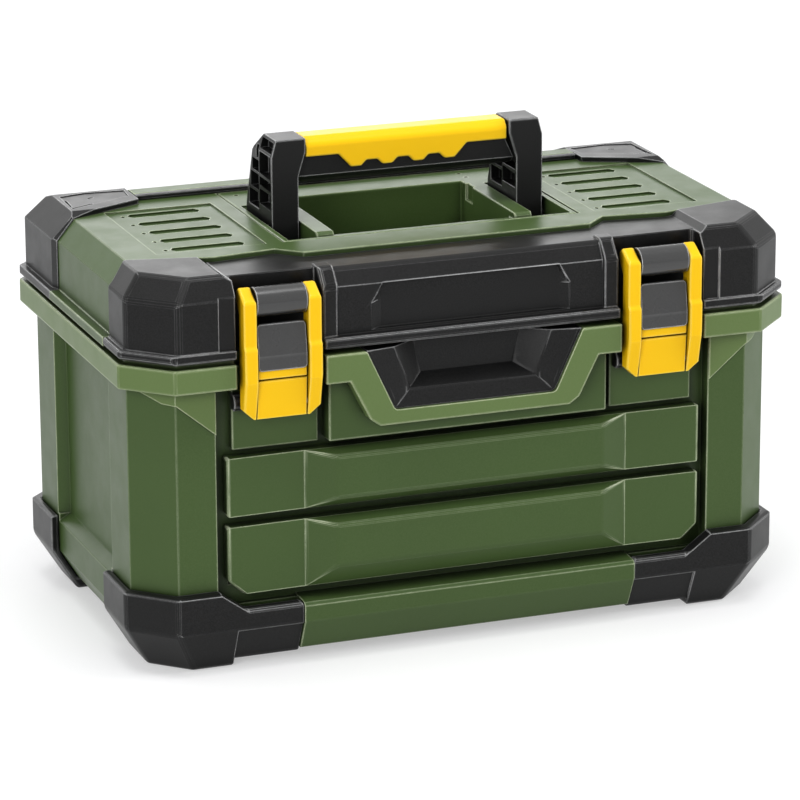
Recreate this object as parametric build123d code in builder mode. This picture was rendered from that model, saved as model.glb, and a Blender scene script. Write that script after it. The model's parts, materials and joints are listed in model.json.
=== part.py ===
from build123d import *
import os

# Portable plastic tool box: a cabinet with two drawers, an upper bin under a hinged lid,
# a folding carrying handle let into the lid and two latches at the front.
# Millimetres. The origin is on the floor under the middle of the rim, the front faces -Y.

os.makedirs("parts", exist_ok=True)

# Rim band, the widest ring of the cabinet, and the heights of the cabinet's tiers
rim_half_w = 225.0
rim_half_d = 137.0
rim_cut = 28.2
rim_h = 16.0
base_gap = 8.0
crease_z = 28.5
sill_top = 40.8
sill_rise = 1.4
drawer_gap = 6.8
lower_drawer_h = 44.5
upper_drawer_h = 38.1
plate_gap = 4.8
plate_h = 59.3
lip_h = 3.0
lip_inset = 6.0
lip_cut = 25.2
wall = 3.5
seat_gap = 0.3
cap_gap = 0.2
pin_gap = 0.05

# Cabinet plan, measured inwards from the rim band
column_side_inset = 8.4
column_front_inset = 14.5
column_cut = 24.2
column_reach = 10.1
column_run = 61.0
recess_d = 8.0
recess_draft = 3.0
back_recess_d = 6.0
back_column_w = 66.0
front_wall_inset = 23.8
base_side_taper = 12.4
base_front_taper = 9.6
base_cut = 20.2
base_room_inset = 8.0
inner_cut = 14.0
ledge_z = 49.0
ledge_rise = 5.0

# Sill between the front feet
sill_half_w = 112.7
sill_inset = 5.0
sill_low_inset = 15.0
sill_bevel = 2.0

# Feet
foot_side = 5.8
foot_front = 8.3
foot_cut = 27.0
foot_low_side_taper = 17.3
foot_low_front_taper = 13.4
foot_low_cut = 23.2
foot_top_z = 51.8
foot_top_rise = 2.7
foot_top_t = 1.0
foot_run = 58.5
foot_step_inset = 14.9
foot_step_run = 15.1
foot_notch_x = 156.0
foot_notch_h = 5.0
foot_relief_d = 1.5
foot_relief_drop = 1.5
foot_screw_places = ((186.0, 92.0), (136.0, 98.0))
foot_screw_z = 6.9
foot_screw_len = 4.4

# Drawers and the inner moulding they run in
drawer_side_gap = 6.4
drawer_edge_inset = 13.4
drawer_bar_proud = 7.2
drawer_bar_half_w = 90.2
drawer_bar_slope = 17.5
drawer_bar_top_slope = 4.1
upper_bar_low_slope = 6.7
lower_bar_low_slope = 13.7
drawer_skin = 3.0
drawer_corner_w = 10.0
drawer_corner_h = 9.0
drawer_front_gap = 0.4
bay_inset = 9.7
bay_wall = 3.0
bay_floor_z = 47.0
shelf_t = 3.0
bay_margin = 4.0
box_side_gap = 5.0
box_wall = 2.5
box_back_gap = 8.0
box_clear = 1.0
box_flange_t = 2.5
flange_gap = 0.6
runner_h = 6.0

# Upper bin under the lid
bin_wall = 2.5
bin_top_drop = 1.0

# Front plate, bezel and finger recess
front_plate_gap = 5.6
front_plate_inset = 10.4
front_plate_t = 3.0
bezel_proud = 1.5
bezel_reach = 0.1
bezel_wing_h = 18.6
bezel_wing_x = 83.6
bezel_low_x = 70.5
bezel_low_z = 44.4
bezel_bottom_x = 63.7
bezel_bottom_z = 49.2
recess_top_x = 72.5
recess_low_x = 54.0
recess_h = 39.6
recess_r = 4.0
insert_r_grow = 1.0
insert_inset = 0.8
insert_edge = 2.0
insert_lip_inset = 4.0
insert_open_top_x = 53.0
insert_open_low_x = 42.6
insert_open_h = 28.7
insert_deep = 12.0
insert_deep_top_x = 36.0
insert_deep_low_x = 31.0
insert_deep_h = 21.3
insert_wall = 2.5

# Latch bays, keeper panels and catches
latch_bay_in = 99.4
latch_bay_out = 156.5
keeper_reach = 0.9
keeper_side_gap = 1.2
keeper_inset = 17.5
keeper_drop = 6.0
keeper_gap = 0.7
catch_drop = 22.5
catch_h = 10.5
catch_end_gap = 1.0
catch_bevel = 3.0
catch_front_inset = 8.6
gusset_t = 1.6
gusset_drop = 31.8
gusset_corner_drop = 10.4
gusset_side_drop = 9.7
gusset_side_run = 7.3
gusset_cut_share = 0.586

# Lid outline and heights above the lid's lower edge
flange_h = 6.0
flange_inset = 0.5
flange_cut = 27.2
lid_side_inset = 7.3
lid_front_inset = 4.1
lid_cut = 25.5
lid_room_cut = 24.0
lid_shoulder_h = 37.8
lid_top_h = 51.6
lid_top_taper = 11.4
lid_top_depth_taper = 9.5
lid_top_cut = 23.5
lid_skin = 3.0
lid_top_t = 4.8
cap_t = 2.5
cap_lift = 0.3
cap_cut = 26.5
cap_top_taper = 11.7
cap_top_depth_taper = 9.9
cap_top_cut = 24.2

# Front bumper with its brow; the insets are measured from the front of the rim band
bumper_end_inset = 60.0
bumper_side_inset = 67.0
bumper_mid_inset = 55.0
bumper_mid_x = 153.0
plate_front_x = 96.7
plate_front_inset = 45.8
plate_shoulder_x = 111.3
plate_shoulder_inset = 60.0
brow_rib_w = 9.9
brow_drop = 3.0
brow_skin = 2.5
brow_flange_inset = 0.6
brow_flange_h = 7.0
brow_face_inset = 6.8
brow_shoulder_h = 38.1
brow_top_inset = 14.6
brow_rib_inset = 4.6
brow_rib_lift = 1.5
brow_panel_x = 66.1
brow_panel_mid_x = 59.3
brow_panel_low_h = 8.7
brow_panel_corner_h = 25.5
brow_panel_d = 3.0
brow_hollow_x = 86.0
brow_hollow_h = 36.5
latch_bay_inset = 20.0
latch_wall_t = 4.0
strip_margin = 1.0
strip_slope = 10.0
cap_step_w = 11.0
cap_step_d = 1.0

# Rear caps, rear deck and trim bar; insets are from the rear of the rim band
rear_slope_inset = 50.0
rear_slope = 0.325
rear_cap_inset = 97.0
rear_cap_mid_side = 41.0
rear_cap_mid_inset = 87.0
rear_cap_nose_side = 69.0
rear_cap_nose_inset = 74.0
rear_cap_h = 3.5
rear_cap_run = 8.0
rear_cap_edge = 0.8
rear_cap_slope_inset = 44.0
cap_panel_plan = ((204.0, 52.5), (186.5, 60.5), (160.0, 73.0), (158.5, 88.0), (184.0, 90.5), (202.5, 86.0))
cap_panel_d = 0.6
cap_slots = (
    ((203.0, 55.0), (187.0, 62.3), (187.4, 63.6), (203.2, 56.5)),
    ((202.0, 60.0), (203.4, 60.0), (202.4, 76.0), (201.0, 76.0)),
    ((186.0, 76.5), (182.0, 78.0), (182.6, 79.6), (186.6, 78.1)),
)
cap_slot_d = 1.4
deck_end_gap = 0.6
deck_h = 3.8
deck_rear_inset = 18.0
bar_inset = 66.0
bar_t = 4.0

# Ribbed panels of the lid
rib_panel_in = 112.0
rib_panel_out = 184.0
rib_panel_front = -63.0
rib_panel_rear = 48.0
rib_panel_d = 1.2
rib_count = 5
rib_pitch = 22.5
rib_first_y = -52.0
rib_run = 48.4
rib_pit_x = {"left": -174.6, "right": 118.0}
rib_pit_gap = 3.4
rib_point = 2.5
rib_w = 9.0
rib_d = 1.5
rib_pit_w = 3.2
rib_pit_run = 4.0

# Handle tray with its bowl and post pockets
tray_half_w = 100.0
tray_front_y = -63.0
tray_rear_y = 70.5
tray_gap = 0.8
tray_t = 3.0
tray_wall = 2.5
tray_clear = 0.3
bowl_half_w = 61.7
bowl_front_y = -49.0
bowl_rear_y = 43.0
bowl_h = 34.6
tray_ledge_run = 8.0
tray_ledge_drop = 4.5
notch_y = 24.0
notch_w = 12.0
notch_h = 11.0
notch_d = 1.6
tray_holes = ((67.0, 62.5), (68.0, 52.0), (90.0, 61.0))
tray_hole_d = 3.0
pocket_in = 73.6
rail_inset = 12.5
rail_edge = 2.0
pocket_out = 96.0
pocket_front_y = -59.5
pocket_rear_y = 33.0
pocket_h = 21.6
pocket_wall = 2.0
stop_y = 20.0

# Carrying handle; heights are from the top of the lid, drops from the top of the grip, and the cells of a
# post are given as shares of the height of the post above the lid
pivot_y = -13.0
pivot_h = -11.6
pin_d = 6.0
pin_end = 1.0
lug_r = 7.0
post_in = 75.0
post_out = 93.0
post_top_in = 69.8
post_top_out = 90.0
post_front_y = -20.0
post_top_drop = -0.5
post_top_rear_y = 3.0
post_mid_rear_y = 18.0
post_mid_drop = 12.5
post_base_rear_y = 31.0
post_base_h = 2.4
post_low_h = -1.6
post_under_slope = 0.395
post_lean_drop = 25.5
post_lean_top_drop = 8.5
post_out_drop = 10.5
cell_mid_y = 4.6
cell_rib = 1.6
cell_rim = 2.2
cell_d = 6.5
cell_inner_drop = 25.0
front_cells = ((0.154, 0.338), (0.375, 0.483), (0.518, 0.794), (0.829, 0.960))
rear_cells = ((0.081, 0.270), (0.307, 0.491), (0.522, 0.664), (0.697, 0.853))
grip_end_gap = 0.6
grip_front_y = -18.0
grip_rear_y = 7.0
grip_top_h = 53.9
grip_edge = 4.5
grip_low_drop = 12.5
grip_finger_drop = 21.5
grip_finger_x = 35.5
grip_finger_run = 8.5
grip_mid = -2.6
grip_fit = 0.0
scallop_pitch = 21.3
scallop_half = 7.5
scallop_h = 3.6
core_front_y = -14.0
core_rear_y = 3.0
core_top_drop = 3.5
core_low_drop = 30.7
core_edge = 5.0

# Latches; insets are from the front of the rim band and heights from the lid's lower edge, below it when
# negative, and each point of an arm is (inset, height)
latch_side_gap = 3.25
latch_arm_w = 8.5
barrel_r = 9.4
barrel_gap = 0.5
barrel_inset = 6.1
barrel_h = 34.2
barrel_web = 4.0
barrel_pin_d = 4.0
barrel_pin_inset = 1.0
latch_low_h = -39.5
latch_low_inset = 0.5
latch_front_inset = -3.3
latch_proud_inset = -5.0
latch_lean_h = -15.0
latch_step_h = 6.5
latch_step_rise = 1.7
latch_arm_front_h = 36.5
latch_arm_peak = (9.0, 43.7)
latch_arm_bend = (13.0, 41.0)
latch_arm_back = (14.0, 35.0)
latch_back_inset = 7.5
latch_back_top_h = 27.0
plate_groove_w = 0.7
plate_groove_d = 1.6
latch_corner_w = 7.0
latch_corner_h = 6.5
latch_plate_low_inset = 1.0
latch_plate_top_inset = -1.0
web_t = 2.0
web_top_h = 19.0
window_low_h = -14.5
tongue_gap = 0.8
tongue_front_inset = -1.5
tongue_back_inset = 2.8
tongue_top_h = 18.5
pad_top_h = 21.0
pad_low_h = -8.3
pad_low_inset = -2.6
pad_crease_h = 1.4
pad_top_inset = 0.6
pad_edge = 1.0
catch_pin_h = -31.0
catch_pin_inset = 4.2

# Hinges at the back
hinge_side = 36.0
hinge_half = 30.0
knuckle_half = 15.5
knuckle_gap = 0.5
knuckle_r = 5.0
hinge_reach = 5.5
hinge_rise = 4.5
hinge_pin_d = 4.0
hinge_plate_t = 2.5
leaf_h = 24.0
leaf_rise = 3.0
knuckle_rib_h = 7.5
screw_d = 3.4
screw_head_d = 7.0
screw_head_h = 1.8
screw_len = 6.0
screw_spread = 20.0
leaf_spread = 8.0
bracket_screw_h = 4.0
leaf_screw_h = 17.5

sides = (("left", -1), ("right", 1))

# Cabinet places
lower_front_z = sill_top + sill_rise + drawer_gap
upper_front_z = lower_front_z + lower_drawer_h + drawer_gap
plate_z = upper_front_z + upper_drawer_h + plate_gap
rim_top = plate_z + plate_h
rim_z = rim_top - rim_h
lid_z = rim_top + lip_h
column_x = rim_half_w - column_side_inset
column_y = rim_half_d - column_front_inset
front_wall_y = front_wall_inset - rim_half_d
inner_x = column_x - recess_d - wall
inner_front_y = front_wall_y + wall
inner_back_y = column_y - back_recess_d - wall
front_bay_x = latch_bay_out + column_reach
sill_y = sill_inset - rim_half_d
sill_low_y = sill_low_inset - rim_half_d
foot_x = column_x + foot_side
foot_y = column_y + foot_front
foot_step_x = front_bay_x - foot_step_inset
foot_crease_run = foot_low_front_taper / crease_z

# Drawer places
bays = (
    ("lower", lower_front_z, lower_drawer_h, lower_bar_low_slope),
    ("upper", upper_front_z, upper_drawer_h, upper_bar_low_slope),
)
shelf_z = upper_front_z - drawer_gap / 2 - shelf_t / 2
bay_top_z = plate_z - plate_gap
bay_levels = {"lower": (bay_floor_z, shelf_z), "upper": (shelf_z + shelf_t, bay_top_z)}
cabinet_front = inner_front_y + seat_gap
cabinet_back = inner_back_y - seat_gap
drawer_half_w = front_bay_x - drawer_side_gap
drawer_wing_y = drawer_edge_inset - rim_half_d
drawer_back_y = front_wall_y - drawer_front_gap
bay_half_w = front_bay_x - bay_inset
box_x = bay_half_w - box_side_gap
box_flange_x = bay_half_w - flange_gap
box_back = cabinet_back - bay_wall - box_back_gap

# Front plate, recess and keeper places
plate_y = front_plate_inset - rim_half_d
front_plate_half_w = latch_bay_in - front_plate_gap
bezel_half_w = latch_bay_in + bezel_reach
bezel_y = -rim_half_d - bezel_proud
recess_low_z = rim_top - recess_h
insert_face_y = insert_inset - rim_half_d
insert_lip_y = insert_lip_inset - rim_half_d
insert_deep_y = insert_lip_y + insert_deep
keeper_in = latch_bay_in - keeper_reach
keeper_out = latch_bay_out - keeper_side_gap
keeper_y = keeper_inset - rim_half_d
keeper_top = rim_top - keeper_drop
catch_y = catch_front_inset - rim_half_d
catch_z = rim_top - catch_drop

# Lid places
lid_x = rim_half_w - lid_side_inset
lid_y = rim_half_d - lid_front_inset
lid_top_z = lid_z + lid_top_h
lid_shoulder_z = lid_z + lid_shoulder_h
flange_x = rim_half_w - flange_inset
flange_y = rim_half_d - flange_inset
cap_x = lid_x + cap_t
cap_y = lid_y + cap_t
over = 1.0
near = 0.1
beyond = 5.0
beyond_x = rim_half_w + beyond
beyond_y = rim_half_d + beyond
brow_half_w = latch_bay_in - brow_rib_w
brow_top_z = lid_top_z - brow_drop
strip_x = latch_bay_out + strip_margin
cap_seat_z = brow_top_z - brow_skin
brow_shoulder_z = lid_z + brow_shoulder_h
brow_room_half_w = latch_bay_out + latch_wall_t
brow_rear_y = plate_front_inset - rim_half_d
brow_back_y = latch_bay_inset + latch_wall_t - rim_half_d
latch_bay_y = latch_bay_inset - rim_half_d
brow_flange_y = brow_flange_inset - rim_half_d
brow_face_y = brow_face_inset - rim_half_d
brow_top_y = brow_top_inset - rim_half_d
brow_rib_y = brow_rib_inset - rim_half_d
brow_panel_z = lid_z + brow_panel_low_h
brow_panel_corner_z = lid_z + brow_panel_corner_h
plate_shoulder_y = plate_shoulder_inset - rim_half_d
bumper_mid_y = bumper_mid_inset - rim_half_d
bumper_side_y = bumper_side_inset - rim_half_d
bumper_end_y = bumper_end_inset - rim_half_d
rear_slope_y = rim_half_d - rear_slope_inset
rear_cap_y = rim_half_d - rear_cap_inset
rear_cap_mid_y = rim_half_d - rear_cap_mid_inset
rear_cap_nose_y = rim_half_d - rear_cap_nose_inset
rear_cap_slope_y = rim_half_d - rear_cap_slope_inset
deck_rear_y = rim_half_d - deck_rear_inset
bar_y = rim_half_d - bar_inset
rear_cap_mid_x = rim_half_w - rear_cap_mid_side
rear_cap_nose_x = rim_half_w - rear_cap_nose_side
deck_half_w = rear_cap_nose_x - deck_end_gap
tray_z = lid_top_z - tray_t
bowl_z = lid_top_z - bowl_h
ledge_top_z = lid_top_z - tray_ledge_drop
rail_y = tray_front_y + rail_inset
pocket_z = lid_top_z - pocket_h
tray_hole_half_w = pocket_out + pocket_wall + tray_clear
tray_hole_front_y = pocket_front_y - pocket_wall - tray_clear
tray_hole_rear_y = bowl_rear_y + tray_wall + tray_clear
rib_panel_z = lid_top_z - rib_panel_d
pivot_z = lid_top_z + pivot_h
post_base_z = lid_top_z + post_base_h
post_low_z = lid_top_z + post_low_h
grip_top_z = lid_top_z + grip_top_h
post_top_z = grip_top_z - post_top_drop
post_mid_z = grip_top_z - post_mid_drop
post_lean_z = grip_top_z - post_lean_drop
post_lean_top_z = grip_top_z - post_lean_top_drop
post_out_z = grip_top_z - post_out_drop
grip_low_z = grip_top_z - grip_low_drop
grip_finger_z = grip_top_z - grip_finger_drop
core_top_z = grip_top_z - core_top_drop
core_low_z = grip_top_z - core_low_drop
cell_inner_z = grip_top_z - cell_inner_drop
grip_half_w = post_top_in - grip_end_gap
scallop_z = grip_finger_z + scallop_h

# Latch places
latch_x = (latch_bay_in + latch_bay_out) / 2
latch_half = (latch_bay_out - latch_bay_in) / 2 - latch_side_gap
window_half = latch_half - latch_arm_w
barrel_half = window_half - barrel_gap
barrel_pin_half = latch_half - barrel_pin_inset
barrel_y = barrel_inset - rim_half_d
latch_low_y = latch_low_inset - rim_half_d
latch_front_y = latch_front_inset - rim_half_d
latch_proud_y = latch_proud_inset - rim_half_d
latch_back_y = latch_back_inset - rim_half_d
latch_plate_low_y = latch_plate_low_inset - rim_half_d
latch_plate_top_y = latch_plate_top_inset - rim_half_d
tongue_front_y = tongue_front_inset - rim_half_d
tongue_back_y = tongue_back_inset - rim_half_d
pad_low_y = pad_low_inset - rim_half_d
pad_top_y = pad_top_inset - rim_half_d
tongue_lean_y = pad_top_y + tongue_front_y - pad_low_y
catch_pin_y = catch_pin_inset - rim_half_d
barrel_z = lid_z + barrel_h
latch_low_z = lid_z + latch_low_h
latch_lean_z = lid_z + latch_lean_h
latch_step_z = lid_z + latch_step_h
latch_arm_front_z = lid_z + latch_arm_front_h
latch_back_top_z = lid_z + latch_back_top_h
web_top_z = lid_z + web_top_h
window_low_z = lid_z + window_low_h
tongue_top_z = lid_z + tongue_top_h
pad_top_z = lid_z + pad_top_h
pad_low_z = lid_z + pad_low_h
pad_crease_z = lid_z + pad_crease_h
catch_pin_z = lid_z + catch_pin_h
arm_peak, arm_bend, arm_back = [
    (inset - rim_half_d, lid_z + height) for inset, height in (latch_arm_peak, latch_arm_bend, latch_arm_back)
]

# Hinge places
hinge_x = rear_cap_nose_x - hinge_side
hinge_y = rim_half_d + hinge_reach
hinge_z = rim_top + hinge_rise
hinge_plate_y = rim_half_d + hinge_plate_t
leaf_plate_y = lid_y + hinge_plate_t
flange_top = lid_z + flange_h
bracket_screw_z = rim_z + bracket_screw_h
leaf_screw_z = lid_z + leaf_screw_h


def flat(plane, points):
    """A flat face through the points, drawn on the plane."""
    with BuildSketch(plane) as drawn:
        Polygon(*points, align=None)
    return drawn.sketch


def octagon(half_w, half_d, cut):
    """The plan of the box: a rectangle with its corners cut at 45 degrees."""
    return (
        (half_w - cut, -half_d), (half_w, cut - half_d), (half_w, half_d - cut), (half_w - cut, half_d),
        (cut - half_w, half_d), (-half_w, half_d - cut), (-half_w, cut - half_d), (cut - half_w, -half_d),
    )


def blend(sections, mode=Mode.ADD):
    """Flat-sided solids through (plane, points) sections with matching corners."""
    for pair in zip(sections, sections[1:]):
        loft([flat(plane, points) for plane, points in pair], ruled=True, mode=mode)


def tapered(levels, mode=Mode.ADD):
    """Octagons (z, half width, half depth, corner cut) joined in turn by flat sides."""
    blend([(Plane.XY.offset(z), octagon(*size)) for z, *size in levels], mode)


def block(x, y, z, mode=Mode.ADD):
    """A box between the two values given on each axis."""
    with Locations((sum(x) / 2, sum(y) / 2, sum(z) / 2)):
        Box(abs(x[1] - x[0]), abs(y[1] - y[0]), abs(z[1] - z[0]), mode=mode)


def along_x(x, points, mode=Mode.ADD):
    """A (y, z) profile carried from one X to the other."""
    extrude(flat(Plane.YZ.offset(min(x)), points), amount=max(x) - min(x), dir=(1, 0, 0), mode=mode)


def along_y(y, points, mode=Mode.ADD):
    """An (x, z) profile carried from one Y to the other."""
    extrude(flat(Plane.XZ.offset(-max(y)), points), amount=max(y) - min(y), dir=(0, -1, 0), mode=mode)


def along_z(z, points, mode=Mode.ADD):
    """An (x, y) profile carried from one Z to the other."""
    extrude(flat(Plane.XY.offset(min(z)), points), amount=max(z) - min(z), dir=(0, 0, 1), mode=mode)


def rod_x(x, y, z, d, mode=Mode.ADD):
    """A round bar along X, centred on y and z."""
    with Locations(Location((sum(x) / 2, y, z), (0, 90, 0))):
        Cylinder(d / 2, abs(x[1] - x[0]), mode=mode)


def both(points):
    """Half an outline completed by its mirror image in X."""
    return list(points) + [(-x, z) for x, z in reversed(points)]


def save(piece, name):
    """Label a finished piece and write it to its own file."""
    piece.part.label = name
    export_step(piece.part, f"parts/{name}.step")


def room_plan(half_w, front, back, cut):
    """The plan of a room with cut corners that isn't centred front to back."""
    return (
        (half_w - cut, front), (half_w, front + cut), (half_w, back - cut), (half_w - cut, back),
        (cut - half_w, back), (-half_w, back - cut), (-half_w, front + cut), (cut - half_w, front),
    )


def trapezoid(top_x, low_x, top_z, low_z):
    """A symmetric trapezoid that is wider at its top."""
    return (top_x, top_z), (low_x, low_z), (-low_x, low_z), (-top_x, top_z)


def screw(length, mode=Mode.ADD):
    """A screw that points up the Z axis of its place, with its head below it."""
    Cylinder(screw_head_d / 2, screw_head_h, align=(Align.CENTER, Align.CENTER, Align.MAX), mode=mode)
    Cylinder(screw_d / 2, length, align=(Align.CENTER, Align.CENTER, Align.MIN), mode=mode)


def screw_hole(d):
    """The hole a screw runs in, on both sides of its place."""
    Cylinder(d / 2, 2 * screw_len + over, mode=Mode.SUBTRACT)


def post_under(y):
    """Height of the underside of a post at y."""
    return post_low_z + post_under_slope * (y - post_base_rear_y)


def post_back(z):
    """Rear face of a post at height z."""
    if z < post_mid_z:
        share = (z - post_base_z) / (post_mid_z - post_base_z)
        return post_base_rear_y + share * (post_mid_rear_y - post_base_rear_y)
    share = (z - post_mid_z) / (post_top_z - post_mid_z)
    return post_mid_rear_y + share * (post_top_rear_y - post_mid_rear_y)


recess_outline = trapezoid(recess_top_x, recess_low_x, rim_top, recess_low_z)
room = room_plan(inner_x, inner_front_y, inner_back_y, inner_cut)
base_levels = (
    (base_gap, column_x - base_side_taper, column_y - base_front_taper, base_cut),
    (crease_z, column_x, column_y, column_cut),
    (rim_z, column_x, column_y, column_cut),
)
foot_screws_at = [Location((sx * x, sy * y, foot_screw_z)) for sx in (-1, 1) for sy in (-1, 1)
                  for x, y in foot_screw_places]
bracket_screws_at = [Location((sx * hinge_x + dx, hinge_plate_y, bracket_screw_z), (90, 0, 0))
                     for sx in (-1, 1) for dx in (-screw_spread, screw_spread)]
leaf_screws_at = [Location((sx * hinge_x + dx, leaf_plate_y, leaf_screw_z), (90, 0, 0))
                  for sx in (-1, 1) for dx in (-leaf_spread, leaf_spread)]

# Cabinet shell: corner columns, recessed sides and back, front wall and sill
with BuildPart() as body_shell:
    tapered(base_levels)
    panel_run = column_run - recess_draft
    for side_name, sx in sides:
        panel_x = sx * (column_x - recess_d)
        out_x = sx * (column_x + over)
        along_z((ledge_z + ledge_rise, rim_z), (
            (out_x, -column_run), (panel_x, -panel_run), (panel_x, panel_run), (out_x, column_run),
        ), Mode.SUBTRACT)
        along_y((-panel_run, panel_run), (
            (panel_x, ledge_z + ledge_rise), (sx * column_x, ledge_z), (out_x, ledge_z),
            (out_x, ledge_z + ledge_rise),
        ), Mode.SUBTRACT)
    back_x = column_x - back_column_w
    block((-back_x, back_x), (column_y - back_recess_d, column_y + over), (ledge_z, rim_z), Mode.SUBTRACT)
    block((-front_bay_x, front_bay_x), (-column_y - over, front_wall_y), (sill_top, rim_z), Mode.SUBTRACT)
    block((-front_bay_x, front_bay_x), (-column_y - over, front_wall_y - wall), (0, sill_top + over),
          Mode.SUBTRACT)
    along_x((-sill_half_w, sill_half_w), (
        (sill_y, crease_z), (sill_y, sill_top - sill_bevel), (sill_y + sill_bevel, sill_top),
        (front_wall_y, sill_top + sill_rise), (front_wall_y, base_gap), (sill_low_y, base_gap),
    ))
    along_z((crease_z + wall, rim_z), room, Mode.SUBTRACT)
    block((base_room_inset - inner_x, inner_x - base_room_inset),
          (inner_front_y + base_room_inset, inner_back_y - base_room_inset),
          (base_gap + wall, crease_z + wall), Mode.SUBTRACT)
    for bay_name, front_z, front_h, low_slope in bays:
        block((-bay_half_w, bay_half_w), (front_wall_y, inner_front_y),
              (front_z + bay_margin, front_z + front_h - bay_margin), Mode.SUBTRACT)
    with Locations(foot_screws_at):
        screw_hole(screw_d + 2 * pin_gap)
save(body_shell, "body_shell")

# Rim frame: the band round the top, its inner lip for the lid and the corner gussets
with BuildPart() as gusset_reach:
    gusset_x = column_x - column_cut
    for side_name, sx in sides:
        along_y((-rim_half_d, rim_half_d), (
            (sx * front_bay_x, rim_z), (sx * front_bay_x, rim_z - gusset_drop),
            (sx * gusset_x, rim_z - gusset_corner_drop),
            (sx * (gusset_x + gusset_side_run), rim_z - gusset_side_drop), (sx * column_x, rim_z),
        ))

with BuildPart() as gussets:
    gusset_cut = column_cut + gusset_cut_share * gusset_t
    gusset_span = (rim_z - gusset_drop, rim_z)
    along_z(gusset_span, octagon(column_x + gusset_t, column_y + gusset_t, gusset_cut))
    along_z(gusset_span, octagon(column_x, column_y, column_cut), Mode.SUBTRACT)
    add(gusset_reach.part, mode=Mode.INTERSECT)

with BuildPart() as rim_frame:
    along_z((rim_z, rim_top), octagon(rim_half_w, rim_half_d, rim_cut))
    along_z((rim_top, lid_z - seat_gap), octagon(rim_half_w - lip_inset, rim_half_d - lip_inset, lip_cut))
    along_z((rim_z, lid_z), room, Mode.SUBTRACT)
    block((-latch_bay_out, latch_bay_out), (-rim_half_d, front_wall_y), (rim_z, lid_z), Mode.SUBTRACT)
    add(gussets.part)
    with Locations(bracket_screws_at):
        screw_hole(screw_d + 2 * pin_gap)
save(rim_frame, "rim_frame")

# Inner moulding with the two drawer bays
with BuildPart() as drawer_cabinet:
    block((-bay_half_w - bay_wall, bay_half_w + bay_wall), (cabinet_front, cabinet_back),
          (bay_floor_z - bay_wall, bay_top_z + bay_wall))
    for bay_name, front_z, front_h, low_slope in bays:
        block((-bay_half_w, bay_half_w), (cabinet_front, cabinet_back - bay_wall), bay_levels[bay_name],
              Mode.SUBTRACT)
save(drawer_cabinet, "drawer_cabinet")

# Upper bin, standing on the drawer moulding inside the rim
with BuildPart() as upper_bin:
    bin_x = inner_x - seat_gap
    bin_front = inner_front_y + seat_gap
    bin_back = inner_back_y - seat_gap
    bin_z = bay_top_z + bay_wall + seat_gap
    bin_top = rim_top - bin_top_drop
    along_z((bin_z, bin_top), room_plan(bin_x, bin_front, bin_back, inner_cut))
    along_z((bin_z + bin_wall, bin_top),
            room_plan(bin_x - bin_wall, bin_front + bin_wall, bin_back - bin_wall, inner_cut - bin_wall / 2),
            Mode.SUBTRACT)
save(upper_bin, "upper_bin")

# Front plate, the bezel round the finger recess and the recess itself
with BuildPart() as front_plate:
    block((-front_plate_half_w, front_plate_half_w), (plate_y, front_wall_y), (plate_z, rim_top))
    block((front_plate_t - front_plate_half_w, front_plate_half_w - front_plate_t),
          (plate_y + front_plate_t, front_wall_y), (plate_z + front_plate_t, rim_top - front_plate_t),
          Mode.SUBTRACT)
    along_y((plate_y, front_wall_y), recess_outline, Mode.SUBTRACT)
save(front_plate, "front_plate")

with BuildPart() as bezel_frame:
    along_y((bezel_y, plate_y), both((
        (bezel_half_w, rim_top), (bezel_half_w, rim_top - bezel_wing_h),
        (bezel_wing_x, rim_top - bezel_wing_h),
        (bezel_low_x, rim_top - bezel_low_z), (bezel_bottom_x, rim_top - bezel_bottom_z),
    )))
    along_y((bezel_y, plate_y), recess_outline, Mode.SUBTRACT)
    fillet(bezel_frame.edges().filter_by(Axis.Y).filter_by_position(
        Axis.Z, recess_low_z - near, recess_low_z + near), recess_r)
save(bezel_frame, "bezel_frame")

with BuildPart() as finger_recess:
    along_y((insert_face_y, insert_deep_y + insert_wall), recess_outline)
    fillet(finger_recess.edges().filter_by(Axis.Y).filter_by_position(
        Axis.Z, recess_low_z - near, recess_low_z + near), recess_r + insert_r_grow)
    mouth_z = rim_top + over
    open_z = rim_top - insert_open_h
    blend((
        (Plane.XZ.offset(-insert_face_y),
         trapezoid(recess_top_x - insert_edge, recess_low_x - insert_edge, mouth_z,
                   recess_low_z + insert_edge)),
        (Plane.XZ.offset(-insert_lip_y), trapezoid(insert_open_top_x, insert_open_low_x, mouth_z, open_z)),
        (Plane.XZ.offset(-insert_deep_y),
         trapezoid(insert_deep_top_x, insert_deep_low_x, mouth_z, rim_top - insert_deep_h)),
    ), Mode.SUBTRACT)
save(finger_recess, "finger_recess")

# Panels behind the latches and the catches on them
for side_name, sx in sides:
    with BuildPart() as keeper_panel:
        block((sx * keeper_in, sx * keeper_out), (keeper_y, front_wall_y), (plate_z - keeper_gap, keeper_top))
    save(keeper_panel, f"keeper_panel_{side_name}")

    with BuildPart() as latch_catch:
        along_x((sx * (latch_bay_in + catch_end_gap), sx * (latch_bay_out - seat_gap)), (
            (keeper_y, catch_z - catch_h), (catch_y + catch_bevel, catch_z - catch_h),
            (catch_y, catch_z - catch_h + catch_bevel), (catch_y, catch_z - catch_bevel),
            (catch_y + catch_bevel, catch_z), (keeper_y, catch_z),
        ))
    save(latch_catch, f"latch_catch_{side_name}")

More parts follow.
